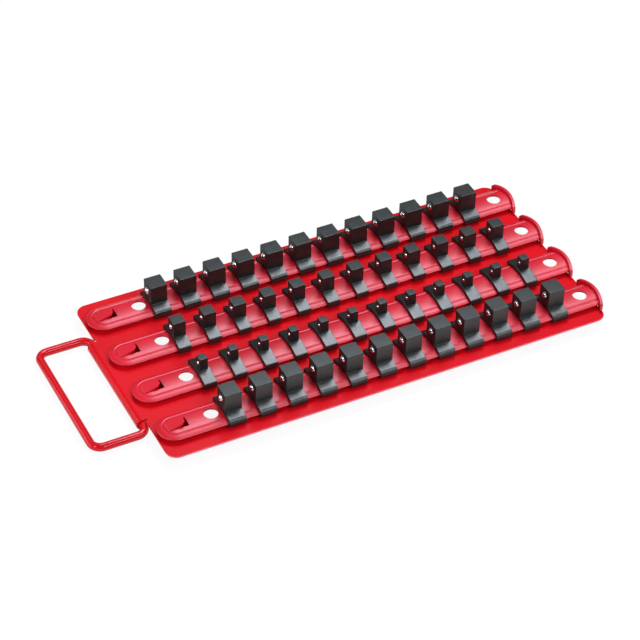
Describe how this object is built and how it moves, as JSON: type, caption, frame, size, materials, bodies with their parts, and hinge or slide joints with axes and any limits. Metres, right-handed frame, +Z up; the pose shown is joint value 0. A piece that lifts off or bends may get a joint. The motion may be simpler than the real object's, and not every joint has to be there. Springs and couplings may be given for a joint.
{
  "type": "socket tray",
  "caption": "Flat steel tray with a folding wire handle and crowned rails, each carrying sliding plastic clips whose square posts hold sockets",
  "frame": {"origin": "centre of the bounding box in X and Y, on the surface under the tray", "axes": "+X along the rails away from the handle, +Y to the back, +Z up"},
  "size_m": [0.3862, 0.171, 0.0327],
  "materials": {
    "red_paint": "glossy red paint on pressed steel sheet",
    "red_wire": "glossy red coating on steel wire",
    "black_plastic": "black moulded plastic with a satin sheen"
  },
  "bodies": {
    "tray": {"tray_plate": "red_paint", "rail_half_rear": "red_paint", "rail_three_eighths": "red_paint", "rail_quarter": "red_paint", "rail_half_front": "red_paint"},
    "handle": {"handle": "red_wire"},
    "clip_half_rear_01": {"clip_half_rear_01": "black_plastic"},
    "clip_half_rear_02": {"clip_half_rear_02": "black_plastic"},
    "clip_half_rear_03": {"clip_half_rear_03": "black_plastic"},
    "clip_half_rear_04": {"clip_half_rear_04": "black_plastic"},
    "clip_half_rear_05": {"clip_half_rear_05": "black_plastic"},
    "clip_half_rear_06": {"clip_half_rear_06": "black_plastic"},
    "clip_half_rear_07": {"clip_half_rear_07": "black_plastic"},
    "clip_half_rear_08": {"clip_half_rear_08": "black_plastic"},
    "clip_half_rear_09": {"clip_half_rear_09": "black_plastic"},
    "clip_half_rear_10": {"clip_half_rear_10": "black_plastic"},
    "clip_half_rear_11": {"clip_half_rear_11": "black_plastic"},
    "clip_half_rear_12": {"clip_half_rear_12": "black_plastic"},
    "clip_three_eighths_01": {"clip_three_eighths_01": "black_plastic"},
    "clip_three_eighths_02": {"clip_three_eighths_02": "black_plastic"},
    "clip_three_eighths_03": {"clip_three_eighths_03": "black_plastic"},
    "clip_three_eighths_04": {"clip_three_eighths_04": "black_plastic"},
    "clip_three_eighths_05": {"clip_three_eighths_05": "black_plastic"},
    "clip_three_eighths_06": {"clip_three_eighths_06": "black_plastic"},
    "clip_three_eighths_07": {"clip_three_eighths_07": "black_plastic"},
    "clip_three_eighths_08": {"clip_three_eighths_08": "black_plastic"},
    "clip_three_eighths_09": {"clip_three_eighths_09": "black_plastic"},
    "clip_three_eighths_10": {"clip_three_eighths_10": "black_plastic"},
    "clip_three_eighths_11": {"clip_three_eighths_11": "black_plastic"},
    "clip_three_eighths_12": {"clip_three_eighths_12": "black_plastic"},
    "clip_quarter_01": {"clip_quarter_01": "black_plastic"},
    "clip_quarter_02": {"clip_quarter_02": "black_plastic"},
    "clip_quarter_03": {"clip_quarter_03": "black_plastic"},
    "clip_quarter_04": {"clip_quarter_04": "black_plastic"},
    "clip_quarter_05": {"clip_quarter_05": "black_plastic"},
    "clip_quarter_06": {"clip_quarter_06": "black_plastic"},
    "clip_quarter_07": {"clip_quarter_07": "black_plastic"},
    "clip_quarter_08": {"clip_quarter_08": "black_plastic"},
    "clip_quarter_09": {"clip_quarter_09": "black_plastic"},
    "clip_quarter_10": {"clip_quarter_10": "black_plastic"},
    "clip_quarter_11": {"clip_quarter_11": "black_plastic"},
    "clip_quarter_12": {"clip_quarter_12": "black_plastic"},
    "clip_half_front_01": {"clip_half_front_01": "black_plastic"},
    "clip_half_front_02": {"clip_half_front_02": "black_plastic"},
    "clip_half_front_03": {"clip_half_front_03": "black_plastic"},
    "clip_half_front_04": {"clip_half_front_04": "black_plastic"},
    "clip_half_front_05": {"clip_half_front_05": "black_plastic"},
    "clip_half_front_06": {"clip_half_front_06": "black_plastic"},
    "clip_half_front_07": {"clip_half_front_07": "black_plastic"},
    "clip_half_front_08": {"clip_half_front_08": "black_plastic"},
    "clip_half_front_09": {"clip_half_front_09": "black_plastic"},
    "clip_half_front_10": {"clip_half_front_10": "black_plastic"},
    "clip_half_front_11": {"clip_half_front_11": "black_plastic"},
    "clip_half_front_12": {"clip_half_front_12": "black_plastic"}
  },
  "joints": [
    {"name": "handle_hinge", "type": "hinge", "parent": "tray", "child": "handle", "pos_m": [-0.1513, 0.002, 0.0046], "axis": [0, 1, 0], "range_deg": [-170, 45]},
    {"name": "clip_half_rear_01_slide", "type": "slide", "parent": "tray", "child": "clip_half_rear_01", "axis": [1, 0, 0], "range_m": [-0.027, 0.0044]},
    {"name": "clip_half_rear_02_slide", "type": "slide", "parent": "tray", "child": "clip_half_rear_02", "axis": [1, 0, 0], "range_m": [-0.0044, 0.0044]},
    {"name": "clip_half_rear_03_slide", "type": "slide", "parent": "tray", "child": "clip_half_rear_03", "axis": [1, 0, 0], "range_m": [-0.0044, 0.0044]},
    {"name": "clip_half_rear_04_slide", "type": "slide", "parent": "tray", "child": "clip_half_rear_04", "axis": [1, 0, 0], "range_m": [-0.0044, 0.0044]},
    {"name": "clip_half_rear_05_slide", "type": "slide", "parent": "tray", "child": "clip_half_rear_05", "axis": [1, 0, 0], "range_m": [-0.0044, 0.0044]},
    {"name": "clip_half_rear_06_slide", "type": "slide", "parent": "tray", "child": "clip_half_rear_06", "axis": [1, 0, 0], "range_m": [-0.0044, 0.0044]},
    {"name": "clip_half_rear_07_slide", "type": "slide", "parent": "tray", "child": "clip_half_rear_07", "axis": [1, 0, 0], "range_m": [-0.0044, 0.0044]},
    {"name": "clip_half_rear_08_slide", "type": "slide", "parent": "tray", "child": "clip_half_rear_08", "axis": [1, 0, 0], "range_m": [-0.0044, 0.0044]},
    {"name": "clip_half_rear_09_slide", "type": "slide", "parent": "tray", "child": "clip_half_rear_09", "axis": [1, 0, 0], "range_m": [-0.0044, 0.0044]},
    {"name": "clip_half_rear_10_slide", "type": "slide", "parent": "tray", "child": "clip_half_rear_10", "axis": [1, 0, 0], "range_m": [-0.0044, 0.0044]},
    {"name": "clip_half_rear_11_slide", "type": "slide", "parent": "tray", "child": "clip_half_rear_11", "axis": [1, 0, 0], "range_m": [-0.0044, 0.0044]},
    {"name": "clip_half_rear_12_slide", "type": "slide", "parent": "tray", "child": "clip_half_rear_12", "axis": [1, 0, 0], "range_m": [-0.0044, 0.0275]},
    {"name": "clip_three_eighths_01_slide", "type": "slide", "parent": "tray", "child": "clip_three_eighths_01", "axis": [1, 0, 0], "range_m": [-0.0265, 0.0063]},
    {"name": "clip_three_eighths_02_slide", "type": "slide", "parent": "tray", "child": "clip_three_eighths_02", "axis": [1, 0, 0], "range_m": [-0.0063, 0.0063]},
    {"name": "clip_three_eighths_03_slide", "type": "slide", "parent": "tray", "child": "clip_three_eighths_03", "axis": [1, 0, 0], "range_m": [-0.0063, 0.0063]},
    {"name": "clip_three_eighths_04_slide", "type": "slide", "parent": "tray", "child": "clip_three_eighths_04", "axis": [1, 0, 0], "range_m": [-0.0063, 0.0063]},
    {"name": "clip_three_eighths_05_slide", "type": "slide", "parent": "tray", "child": "clip_three_eighths_05", "axis": [1, 0, 0], "range_m": [-0.0063, 0.0063]},
    {"name": "clip_three_eighths_06_slide", "type": "slide", "parent": "tray", "child": "clip_three_eighths_06", "axis": [1, 0, 0], "range_m": [-0.0063, 0.0063]},
    {"name": "clip_three_eighths_07_slide", "type": "slide", "parent": "tray", "child": "clip_three_eighths_07", "axis": [1, 0, 0], "range_m": [-0.0063, 0.0063]},
    {"name": "clip_three_eighths_08_slide", "type": "slide", "parent": "tray", "child": "clip_three_eighths_08", "axis": [1, 0, 0], "range_m": [-0.0063, 0.0063]},
    {"name": "clip_three_eighths_09_slide", "type": "slide", "parent": "tray", "child": "clip_three_eighths_09", "axis": [1, 0, 0], "range_m": [-0.0063, 0.0063]},
    {"name": "clip_three_eighths_10_slide", "type": "slide", "parent": "tray", "child": "clip_three_eighths_10", "axis": [1, 0, 0], "range_m": [-0.0063, 0.0063]},
    {"name": "clip_three_eighths_11_slide", "type": "slide", "parent": "tray", "child": "clip_three_eighths_11", "axis": [1, 0, 0], "range_m": [-0.0063, 0.0063]},
    {"name": "clip_three_eighths_12_slide", "type": "slide", "parent": "tray", "child": "clip_three_eighths_12", "axis": [1, 0, 0], "range_m": [-0.0063, 0.0265]},
    {"name": "clip_quarter_01_slide", "type": "slide", "parent": "tray", "child": "clip_quarter_01", "axis": [1, 0, 0], "range_m": [-0.027, 0.0068]},
    {"name": "clip_quarter_02_slide", "type": "slide", "parent": "tray", "child": "clip_quarter_02", "axis": [1, 0, 0], "range_m": [-0.0068, 0.0068]},
    {"name": "clip_quarter_03_slide", "type": "slide", "parent": "tray", "child": "clip_quarter_03", "axis": [1, 0, 0], "range_m": [-0.0068, 0.0068]},
    {"name": "clip_quarter_04_slide", "type": "slide", "parent": "tray", "child": "clip_quarter_04", "axis": [1, 0, 0], "range_m": [-0.0068, 0.0068]},
    {"name": "clip_quarter_05_slide", "type": "slide", "parent": "tray", "child": "clip_quarter_05", "axis": [1, 0, 0], "range_m": [-0.0068, 0.0068]},
    {"name": "clip_quarter_06_slide", "type": "slide", "parent": "tray", "child": "clip_quarter_06", "axis": [1, 0, 0], "range_m": [-0.0068, 0.0068]},
    {"name": "clip_quarter_07_slide", "type": "slide", "parent": "tray", "child": "clip_quarter_07", "axis": [1, 0, 0], "range_m": [-0.0068, 0.0068]},
    {"name": "clip_quarter_08_slide", "type": "slide", "parent": "tray", "child": "clip_quarter_08", "axis": [1, 0, 0], "range_m": [-0.0068, 0.0068]},
    {"name": "clip_quarter_09_slide", "type": "slide", "parent": "tray", "child": "clip_quarter_09", "axis": [1, 0, 0], "range_m": [-0.0068, 0.0068]},
    {"name": "clip_quarter_10_slide", "type": "slide", "parent": "tray", "child": "clip_quarter_10", "axis": [1, 0, 0], "range_m": [-0.0068, 0.0068]},
    {"name": "clip_quarter_11_slide", "type": "slide", "parent": "tray", "child": "clip_quarter_11", "axis": [1, 0, 0], "range_m": [-0.0068, 0.0068]},
    {"name": "clip_quarter_12_slide", "type": "slide", "parent": "tray", "child": "clip_quarter_12", "axis": [1, 0, 0], "range_m": [-0.0068, 0.0265]},
    {"name": "clip_half_front_01_slide", "type": "slide", "parent": "tray", "child": "clip_half_front_01", "axis": [1, 0, 0], "range_m": [-0.027, 0.0045]},
    {"name": "clip_half_front_02_slide", "type": "slide", "parent": "tray", "child": "clip_half_front_02", "axis": [1, 0, 0], "range_m": [-0.0045, 0.0045]},
    {"name": "clip_half_front_03_slide", "type": "slide", "parent": "tray", "child": "clip_half_front_03", "axis": [1, 0, 0], "range_m": [-0.0045, 0.0045]},
    {"name": "clip_half_front_04_slide", "type": "slide", "parent": "tray", "child": "clip_half_front_04", "axis": [1, 0, 0], "range_m": [-0.0045, 0.0045]},
    {"name": "clip_half_front_05_slide", "type": "slide", "parent": "tray", "child": "clip_half_front_05", "axis": [1, 0, 0], "range_m": [-0.0045, 0.0045]},
    {"name": "clip_half_front_06_slide", "type": "slide", "parent": "tray", "child": "clip_half_front_06", "axis": [1, 0, 0], "range_m": [-0.0045, 0.0045]},
    {"name": "clip_half_front_07_slide", "type": "slide", "parent": "tray", "child": "clip_half_front_07", "axis": [1, 0, 0], "range_m": [-0.0045, 0.0045]},
    {"name": "clip_half_front_08_slide", "type": "slide", "parent": "tray", "child": "clip_half_front_08", "axis": [1, 0, 0], "range_m": [-0.0045, 0.0045]},
    {"name": "clip_half_front_09_slide", "type": "slide", "parent": "tray", "child": "clip_half_front_09", "axis": [1, 0, 0], "range_m": [-0.0045, 0.0045]},
    {"name": "clip_half_front_10_slide", "type": "slide", "parent": "tray", "child": "clip_half_front_10", "axis": [1, 0, 0], "range_m": [-0.0045, 0.0045]},
    {"name": "clip_half_front_11_slide", "type": "slide", "parent": "tray", "child": "clip_half_front_11", "axis": [1, 0, 0], "range_m": [-0.0045, 0.0045]},
    {"name": "clip_half_front_12_slide", "type": "slide", "parent": "tray", "child": "clip_half_front_12", "axis": [1, 0, 0], "range_m": [-0.0045, 0.0255]}
  ]
}
